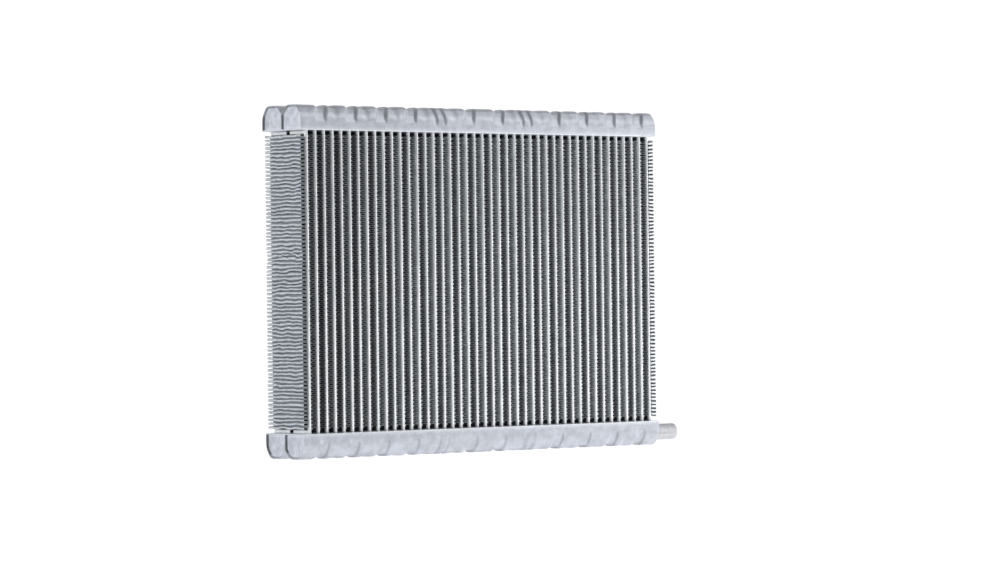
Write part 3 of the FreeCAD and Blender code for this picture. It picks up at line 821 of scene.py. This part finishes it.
class CORE_OT_tank_covers(bpy.types.Operator):
    """Builds the two domed covers with their pressed grooves, beads and hollows"""

    bl_idname = "core.tank_covers"
    bl_label = "Tank covers"

    def execute(self, context):
        sizes = context.scene.core_sizes
        marks = press_marks(sizes)
        path = lobe_path(sizes, spacing=0.9 * MM, steps=4)
        inside = lobe_inside(sizes)
        outside_count = 2 * len(path) - 1
        wall_top = TANK_HEIGHT - sizes.shoulder_drop
        slant_top = TANK_HEIGHT - sizes.slant_drop - 2 * TANK_WALL
        stations = cover_stations()
        for prefix, direction in TANKS.items():
            face = FACE_HEIGHT[direction]
            vertices, faces = [], []
            for x, lip, flare in stations:
                section = cover_section(sizes, marks, path, inside, direction, x, lip, flare)
                vertices += [(x, y, face + direction * height) for y, height in section]
            count = len(section)
            add_skin(faces, 0, count, len(stations))
            # Painted shade on the inside faces that show at the tank's ends: dark on the walls, and on the
            # lower tank on the slants too; the upper tank's faces above the walls get the half-dark shade.
            dark_top = (wall_top if direction == UPPER else slant_top) + 0.5 * MM
            crest = SHADED_SHOULDER if direction == UPPER else BARE_SHEET
            tones = []
            for (_, height), (_, following) in zip(section, section[1:] + section[:1]):
                is_inside = outside_count <= len(tones) < count - 1
                inside_tone = SHADED_INSIDE if (height + following) / 2 < dark_top else crest
                tones.append(inside_tone if is_inside else BARE_SHEET)
            picks = tones * (len(stations) - 1) + [BARE_SHEET, BARE_SHEET]
            make_piece(f"{prefix}_domed_cover", vertices, faces, COVER_FINISHES,
                       [f"{prefix}_tank_cover"], crease=32, picks=picks)
        return {"FINISHED"}


def cap_centre():
    """Middle of a lobe, where a port passes: (y, distance from the plate's core side)."""
    return ((INLET[0].y + INLET[1].y) / 2, FACE_HEIGHT[LOWER] - (INLET[0].z + INLET[1].z) / 2)


def reach_to(outline, centre, angle):
    """Distance from the centre to a closed outline in one direction."""
    parallel, slack = 1e-12, 1e-6
    ahead = Vector((math.cos(angle), math.sin(angle)))
    nearest = math.inf
    for first, second in zip(outline, outline[1:] + outline[:1]):
        start = Vector(first) - Vector(centre)
        edge = Vector(second) - Vector(first)
        cross = ahead.cross(edge)
        if abs(cross) < parallel:
            continue
        reach = start.cross(edge) / cross
        share = start.cross(ahead) / cross
        if reach > 0 and -slack <= share <= 1 + slack:
            nearest = min(nearest, reach)
    return nearest


def end_cap(vertices, faces, edge, side, hand, direction, pierced):
    """Adds one slightly dished cap with an eased edge, or one with a port's hole where it is pierced.

    edge holds the distance from the lobe's middle to its wall, in evenly spread directions.
    """
    low, high = LEFT_CAPS if hand < 0 else RIGHT_CAPS
    outside, inside = (low.x, high.x) if hand < 0 else (high.x, low.x)
    stand_out = 0.8 * MM
    outside += hand * stand_out
    centre_y, centre_height = cap_centre()
    hole = (INLET[1].y - INLET[0].y) / 2
    steps = len(edge)
    face = FACE_HEIGHT[direction]
    dish = 0.12 * MM
    start = len(vertices)

    def add_ring(share, inset, x):
        for step, reach in enumerate(edge):
            angle = 2 * math.pi * step / steps
            way = hole if share is None else reach * share - inset
            vertices.append((x, side * (centre_y + way * math.cos(angle)),
                             face + direction * (centre_height + way * math.sin(angle))))

    # A ring is (share of the way to the wall, inset, rise above the cap's plain face).
    rings = [(0.78, 0.0, 0.01 * MM), (0.86, 0.0, 0.0), (0.93, 0.0, 0.03 * MM),
             (1.0, 0.16 * MM, 0.05 * MM), (1.0, 0.05 * MM, 0.0), (1.0, 0.0, -0.10 * MM)]
    if pierced:
        rings = [(None, 0.0, 0.05 * MM)] + rings
    else:
        rings = [(0.25, 0.0, dish), (0.5, 0.0, 0.11 * MM), (0.68, 0.0, 0.07 * MM)] + rings
    for share, inset, rise in rings:
        add_ring(share, inset, outside - hand * (dish - rise))
    add_ring(1.0, 0.0, inside)
    add_ring(rings[0][0], 0.0, inside)
    add_skin(faces, start, steps, len(rings) + 2, closed=pierced)


class CORE_OT_end_caps(bpy.types.Operator):
    """Builds the eight dished caps in the ends of the lobes"""

    bl_idname = "core.end_caps"
    bl_label = "End caps"

    def execute(self, context):
        outline = lobe_inside(context.scene.core_sizes)
        steps = 72
        edge = [reach_to(outline, cap_centre(), 2 * math.pi * step / steps) for step in range(steps)]
        for prefix, direction in TANKS.items():
            for word, hand in (("left", -1), ("right", 1)):
                vertices, faces = [], []
                for side in (FRONT, REAR):
                    pierced = direction == LOWER and hand > 0
                    end_cap(vertices, faces, edge, side, hand, direction, pierced)
                make_piece(f"{prefix}_{word}_dished_caps", vertices, faces, ["stamped_cap"],
                           [f"{prefix}_{word}_end_caps"], crease=45)
        return {"FINISHED"}


class CORE_OT_flat_tubes(bpy.types.Operator):
    """Builds both rows of flat tubes with their round noses"""

    bl_idname = "core.flat_tubes"
    bl_label = "Flat tubes"

    def execute(self, context):
        for name, side in (("front", FRONT), ("rear", REAR)):
            low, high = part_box(f"{name}_tube_row")
            vertices, faces = [], []
            chamfer_height, chamfer = 0.25 * MM, 0.2 * MM
            levels = [low.z, low.z + chamfer_height, high.z - chamfer_height, high.z]
            grows = [-chamfer, 0.0, 0.0, -chamfer]
            for x in tube_stations():
                start = len(vertices)
                for level, grow in zip(levels, grows):
                    vertices += [(px, py, level) for px, py in tube_outline(x, side, grow)]
                count = (len(vertices) - start) // len(levels)
                add_skin(faces, start, count, len(levels))
            make_piece(f"{name}_flat_tubes", vertices, faces, ["satin_flat_tube"],
                       [f"{name}_tube_row"], crease=40)
        return {"FINISHED"}


def fold_line(half_width, height, radius, outer_hand, sizes):
    """Centre line of a folded strip, as points (x, z, share towards +X, share towards +Z, hand, swell).

    The two shares point to the sheet's right side. swell is 1 in the middle of a fold and 0 at its ends.
    An outermost strip starts and ends with a fold on its outer hand.
    """
    legs = 2 * round(height / sizes.fold_pitch) - (0 if outer_hand else 1)
    first_hand = outer_hand or -1
    rise = height / legs
    reach = half_width - sizes.fin_gauge / 2 - radius
    lean = 0.0
    for _ in range(12):
        lean = math.atan((rise - 2 * radius * math.cos(lean)) / (2 * (reach + radius * math.sin(lean))))
    steps = 4
    sweep = math.pi - 2 * lean
    points = []
    for fold in range(legs + 1):
        hand = first_hand if fold % 2 == 0 else -first_hand
        for step in range(steps + 1):
            turn = sweep * (step / steps - 0.5)
            points.append((hand * (reach + radius * math.cos(turn)), fold * rise + radius * math.sin(turn),
                           math.cos(turn), hand * math.sin(turn), hand, math.sin(math.pi * step / steps)))
    return points


def outer_strip_ends(sizes):
    """Heights of the first and the last fold's bend in the two outermost strips."""
    inset = sizes.outer_strip_gap + sizes.outer_fold_radius
    return FACE_HEIGHT[LOWER] + inset, FACE_HEIGHT[UPPER] - inset


def fin_strip(number, low, high, sizes):
    """Vertices and faces of one folded fin strip.

    outer_hand is -1 for the leftmost strip, 1 for the rightmost and 0 for a strip between two tubes.
    """
    outer_hand = {0: -1, TUBE_COUNT: 1}.get(number, 0)
    centre = (low.x + high.x) / 2
    half_width = (high.x - low.x) / 2
    bottom, top = low.z + 0.3 * MM, high.z - 0.5 * MM
    radius = sizes.fold_radius
    overhang = 0.35 * MM
    straight_end = 6 * MM
    if outer_hand:
        radius = sizes.outer_fold_radius
        bottom, top = outer_strip_ends(sizes)
    height = top - bottom
    line = fold_line(half_width, height, radius, outer_hand, sizes)
    slices = 18 if outer_hand else 1
    vertices, faces = [], []
    front, rear = low.y - overhang, high.y + overhang
    for layer in range(slices + 1):
        y = front + (rear - front) * layer / slices
        for side in (-1, 1):
            for x, z, share_x, share_z, hand, swell in line:
                # In a gap, braze fills the left folds more than the right ones.
                fill = sizes.fold_braze if hand < 0 or outer_hand else sizes.fold_braze / 4
                thick = sizes.fin_gauge / 2 + (fill * swell if side == -hand else 0.0)
                px = x + side * share_x * thick
                pz = z + side * share_z * thick
                dx, dz = fin_unevenness(number, outer_hand, px / half_width, y, pz, height)
                ease = 1.0 if outer_hand else smooth_step(min(pz, height - pz) / straight_end)
                vertices.append((centre + px + dx, y, bottom + pz + dz * ease))
    count = len(line)
    for near in range(0, slices * 2 * count, 2 * count):
        far = near + 2 * count
        for index in range(count - 1):
            for point in (index, count + index):
                faces.append((near + point, near + point + 1, far + point + 1, far + point))
        for index in (0, count - 1):
            faces.append((near + index, near + count + index, far + count + index, far + index))
    for start in (0, slices * 2 * count):
        faces += [(start + index, start + index + 1, start + count + index + 1, start + count + index)
                  for index in range(count - 1)]
    return vertices, faces


def fin_unevenness(number, outer_hand, across, y, z, height):
    """How far a point of a fin strip lies from its ideal place, along X and along Z.

    The outermost strips are bent most at their free folds, and the left one has a crushed stretch.
    """
    dz = 0.30 * MM * blob(number * 0.37, 0.0, z, 11 * MM)
    if not outer_hand:
        return 0.0, dz + 1.6 * MM * noise.noise(Vector((number * 1.7, 0.3, 0.6)))
    free = max(0.0, min(1.0, (across * outer_hand + 1) / 2))
    waves = [(0.95 * MM, y, 0.0, 7.0 * MM), (0.38 * MM, y, 0.2, 2.6 * MM), (0.34 * MM, 0.0, 0.4, 2.6 * MM)]
    for swing, place, seed, length in waves:
        dz += free * swing * blob(place, number * 0.5 + seed, z, length)
    dx = -outer_hand * free * 0.30 * MM * (0.5 + 0.5 * blob(y, z, number, 3.5 * MM))
    if outer_hand < 0:
        crushed_height, crushed_reach = 0.585 * height, 4.0 * MM
        dent = math.exp(-((z - crushed_height) / crushed_reach) ** 2)
        dx += free * dent * 0.8 * MM
        dz += free * dent * 1.6 * MM * blob(y, z, 0.7, 4 * MM)
    return dx, dz


class CORE_OT_fin_strips(bpy.types.Operator):
    """Builds the folded fin strips at their true pitch"""

    bl_idname = "core.fin_strips"
    bl_label = "Fin strips"

    def execute(self, context):
        sizes = context.scene.core_sizes
        for number, node in enumerate(fin_nodes()):
            low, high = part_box(node)
            vertices, faces = fin_strip(number, low, high, sizes)
            # Every other gap's strip takes the lighter copy of the fin colour and the rest the darker one:
            # painted light and shade.
            tone = "light" if number % 2 else "dark"
            tone = {0: "left", TUBE_COUNT: "right"}.get(number, tone)
            make_piece(f"folded_{node}", vertices, faces, [f"louvred_fin_{tone}"], [node],
                       crease=60)
        return {"FINISHED"}


def round_profile(vertices, faces, box, profile, steps=48):
    """Adds a turned body about the box's own axis along X; profile is a closed list of (x, radius)."""
    low, high = box
    centre_y, centre_z = (low.y + high.y) / 2, (low.z + high.z) / 2
    start = len(vertices)
    for x, radius in profile:
        for step in range(steps):
            turn = 2 * math.pi * step / steps
            vertices.append((x, centre_y + radius * math.cos(turn), centre_z + radius * math.sin(turn)))
    add_skin(faces, start, steps, len(profile), closed=True)


class CORE_OT_port_stubs(bpy.types.Operator):
    """Builds the two round port stubs with their rounded ends"""

    bl_idname = "core.port_stubs"
    bl_label = "Port stubs"

    def execute(self, context):
        wall, lip = 1.2 * MM, 0.3 * MM
        cap_face = RIGHT_CAPS[1].x
        fillet = [(-0.2 * MM, 0.0), (-0.2 * MM, 0.75 * MM), (0.05 * MM, 0.7 * MM), (0.25 * MM, 0.25 * MM),
                  (0.8 * MM, 0.0)]
        for name, (low, high) in (("outlet", OUTLET), ("inlet", INLET)):
            outer = (high.y - low.y) / 2
            bore = outer - wall
            profile = [(low.x, bore), (low.x, outer)]
            profile += [(cap_face + along, outer + rise) for along, rise in fillet]
            profile += [(high.x - lip, outer), (high.x - lip * 0.3, outer - lip * 0.3), (high.x, outer - lip),
                        (high.x, bore + lip), (high.x - lip * 0.3, bore + lip * 0.3), (high.x - lip, bore)]
            vertices, faces = [], []
            round_profile(vertices, faces, (low, high), profile)
            make_piece(f"{name}_round_stub", vertices, faces, ["drawn_stub"],
                       [f"{name}_stub"], crease=50)
        return {"FINISHED"}


class CORE_OT_partitions(bpy.types.Operator):
    """Gives the partitions inside the lower tank their finish"""

    bl_idname = "core.partitions"
    bl_label = "Partitions"

    def execute(self, context):
        for node in ("lower_front_partition", "lower_rear_partition"):
            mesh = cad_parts[node].data
            mesh.materials.clear()
            mesh.materials.append(finish("stamped_cap"))
        return {"FINISHED"}


def backdrop_material(share, reflected_share, glow_strength):
    """White that keeps the soft shadow: one share of it glows for the camera, another in reflections."""
    shader = Shader("studio_white")
    shader.feed("Base Color", (0.9, 0.9, 0.9, 1.0))
    shader.feed("Roughness", 0.9)
    shader.feed("Specular IOR Level", 0.0)
    direct, glossy, transmitted = [shader.node("LightPath", {}, {}, f"Is {kind} Ray")
                                   for kind in ("Camera", "Glossy", "Transmission")]
    seen = (direct * share + (glossy + transmitted) * reflected_share).clipped()
    glow = shader.node("Emission", {}, {"Color": (1.0, 1.0, 1.0, 1.0), "Strength": glow_strength})
    body = Term(shader, shader.surface.outputs["BSDF"])
    mixed = shader.node("MixShader", {}, {0: seen, 1: body, 2: glow})
    output = shader.tree.nodes["Material Output"]
    shader.tree.links.new(mixed.socket, output.inputs["Surface"])
    return shader.material


def core_middle():
    """The point that the lamps point at and the camera's place is counted from."""
    return Vector((TANK_MIDDLE, 0.0, (CAD_BOX[0][2] + CAD_BOX[1][2]) / 2))


def add_softbox(name, place, size, power):
    """A rectangular soft lamp that points at the middle of the core."""
    data = bpy.data.lights.new(name, "AREA")
    data.shape = "RECTANGLE"
    data.size, data.size_y = size
    data.energy = power
    lamp = bpy.data.objects.new(name, data)
    lamp.location = place
    lamp.visible_camera = False
    lamp.rotation_euler = (core_middle() - Vector(place)).to_track_quat("-Z", "Y").to_euler()
    bpy.context.scene.collection.objects.link(lamp)


class CORE_OT_studio(bpy.types.Operator):
    """Sets up the white floor and backdrop, the soft lamps and the camera"""

    bl_idname = "core.studio"
    bl_label = "Studio"

    def execute(self, context):
        scene = context.scene
        look = scene.studio_look
        self.add_sweep(look)
        self.add_lamps(look)
        self.add_world(scene, look)
        self.add_camera(scene, look)
        scene.view_settings.view_transform = "Standard"
        return {"FINISHED"}

    def add_sweep(self, look):
        """Floor that rises into a wall behind the part, as one smooth sheet that lets light up through it."""
        radius, floor_reach, side, top = 1.2, 2.2, 8.0, 5.0
        behind_camera, steps = -4.5, 16
        line = [(behind_camera, 0.0), (floor_reach, 0.0)]
        for step in range(1, steps + 1):
            turn = math.pi / 2 * step / steps
            line.append((floor_reach + radius * math.sin(turn), radius - radius * math.cos(turn)))
        line.append((floor_reach + radius, top))
        ahead = Vector((math.sin(look.view_yaw), math.cos(look.view_yaw), 0))
        across = Vector((ahead.y, -ahead.x, 0))
        vertices = [ahead * reach + across * hand * side + Vector((0, 0, height))
                    for reach, height in line for hand in (-1, 1)]
        faces = [(2 * index, 2 * index + 1, 2 * index + 3, 2 * index + 2) for index in range(len(line) - 1)]
        mesh = bpy.data.meshes.new("studio_sweep")
        mesh.from_pydata(vertices, [], faces)
        mesh.shade_smooth()
        mesh.materials.append(
            backdrop_material(look.backdrop_share, look.reflected_share, look.backdrop_glow))
        sweep = bpy.data.objects.new("studio_sweep", mesh)
        sweep.visible_shadow = False
        bpy.context.scene.collection.objects.link(sweep)

    def add_lamps(self, look):
        """Softboxes at the right, the left and high in front, and two that shine up through the floor."""
        add_softbox("right_softbox", (1.40, -0.45, 0.18), (1.5, 0.32), look.right_power)
        add_softbox("left_softbox", (-2.3, 0.4, 0.55), (1.6, 1.6), look.left_power)
        add_softbox("front_softbox", (1.3, -1.0, 1.3), (1.4, 1.2), look.front_power)
        add_softbox("low_front_softbox", (0.5, -0.7, -0.6), (0.8, 0.8), look.low_front_power)
        add_softbox("low_right_softbox", (1.1, 0.0, -0.35), (0.8, 0.5), look.low_right_power)

    def add_world(self, scene, look):
        world = bpy.data.worlds.new("studio_room")
        world.use_nodes = True
        room = world.node_tree.nodes["Background"]
        room.inputs["Color"].default_value = (0.95, 0.97, 1.0, 1.0)
        room.inputs["Strength"].default_value = look.room_light
        scene.world = world

    def add_camera(self, scene, look):
        data = bpy.data.cameras.new("photo_camera")
        data.lens = look.lens
        data.sensor_width = 36.0
        data.clip_end = 50.0
        camera = bpy.data.objects.new("photo_camera", data)
        yaw, pitch, roll = look.view_yaw, look.view_pitch, look.view_roll
        ahead = Vector((math.sin(yaw) * math.cos(pitch), math.cos(yaw) * math.cos(pitch), math.sin(pitch)))
        level_right = Vector((math.cos(yaw), -math.sin(yaw), 0))
        level_up = level_right.cross(ahead)
        right = level_right * math.cos(roll) + level_up * math.sin(roll)
        up = level_up * math.cos(roll) - level_right * math.sin(roll)
        turn = Matrix((right, up, -ahead)).transposed().to_4x4()
        camera.matrix_world = Matrix.Translation(core_middle() + Vector(look.camera_place)) @ turn
        scene.collection.objects.link(camera)
        scene.camera = camera


class CORE_PT_sidebar(bpy.types.Panel):
    """Lists the steps that dress the evaporator core"""

    bl_idname = "CORE_PT_sidebar"
    bl_label = "Evaporator core"
    bl_space_type = "VIEW_3D"
    bl_region_type = "UI"
    bl_category = "Evaporator"

    def draw(self, context):
        column = self.layout.column()
        for step in STEPS:
            column.operator(step.bl_idname)


STEPS = (
    CORE_OT_tube_plates,
    CORE_OT_tank_covers,
    CORE_OT_end_caps,
    CORE_OT_flat_tubes,
    CORE_OT_fin_strips,
    CORE_OT_partitions,
    CORE_OT_port_stubs,
    CORE_OT_studio,
)
CLASSES = (CoreSizes, CoreFinish, StudioLook, *STEPS, CORE_PT_sidebar)


def register():
    for item in CLASSES:
        bpy.utils.register_class(item)
    bpy.types.Scene.core_sizes = bpy.props.PointerProperty(type=CoreSizes)
    bpy.types.Scene.core_finish = bpy.props.PointerProperty(type=CoreFinish)
    bpy.types.Scene.studio_look = bpy.props.PointerProperty(type=StudioLook)


def unregister():
    del bpy.types.Scene.studio_look
    del bpy.types.Scene.core_finish
    del bpy.types.Scene.core_sizes
    for item in reversed(CLASSES):
        bpy.utils.unregister_class(item)


def main():
    register()
    bpy.ops.core.tube_plates()
    bpy.ops.core.tank_covers()
    bpy.ops.core.end_caps()
    bpy.ops.core.flat_tubes()
    bpy.ops.core.fin_strips()
    bpy.ops.core.partitions()
    bpy.ops.core.port_stubs()
    bpy.ops.core.studio()


if __name__ == "__main__":
    main()
